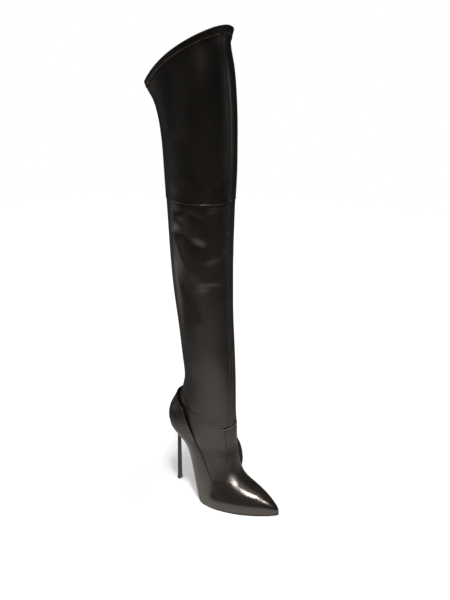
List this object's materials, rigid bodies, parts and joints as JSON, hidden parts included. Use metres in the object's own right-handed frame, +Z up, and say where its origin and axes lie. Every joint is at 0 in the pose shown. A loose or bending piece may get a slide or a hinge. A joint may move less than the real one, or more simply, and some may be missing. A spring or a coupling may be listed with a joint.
{
  "type": "over-the-knee stiletto boot",
  "caption": "Over-the-knee leather boot with a pointed toe, a slanted thigh rim and a slim metal stiletto heel; it stands empty on its sole.",
  "frame": {"origin": "bottom centre of the bounding box, on the floor that the boot stands on", "axes": "+Z up the leg, the toe points along -Y, +X towards the wearer's left, which is the inner side of this right boot"},
  "size_m": [0.125, 0.2414, 0.7796],
  "materials": {
    "upper_leather": "smooth, semi-gloss",
    "quarter_leather": "smooth, semi-gloss",
    "shaft_leather": "smooth, satin, stretch backed",
    "thigh_leather": "smooth, satin, stretch backed",
    "outsole_leather": "painted edge, satin tread",
    "insole_leather": "matt lining leather",
    "heel_steel": "dark plated, polished",
    "top_piece_rubber": "matt"
  },
  "bodies": {
    "root": {"upper": "upper_leather", "quarter": "quarter_leather", "shaft": "shaft_leather", "thigh_panel": "thigh_leather", "outsole": "outsole_leather", "insole": "insole_leather", "heel": "heel_steel", "top_piece": "top_piece_rubber"}
  },
  "joints": []
}
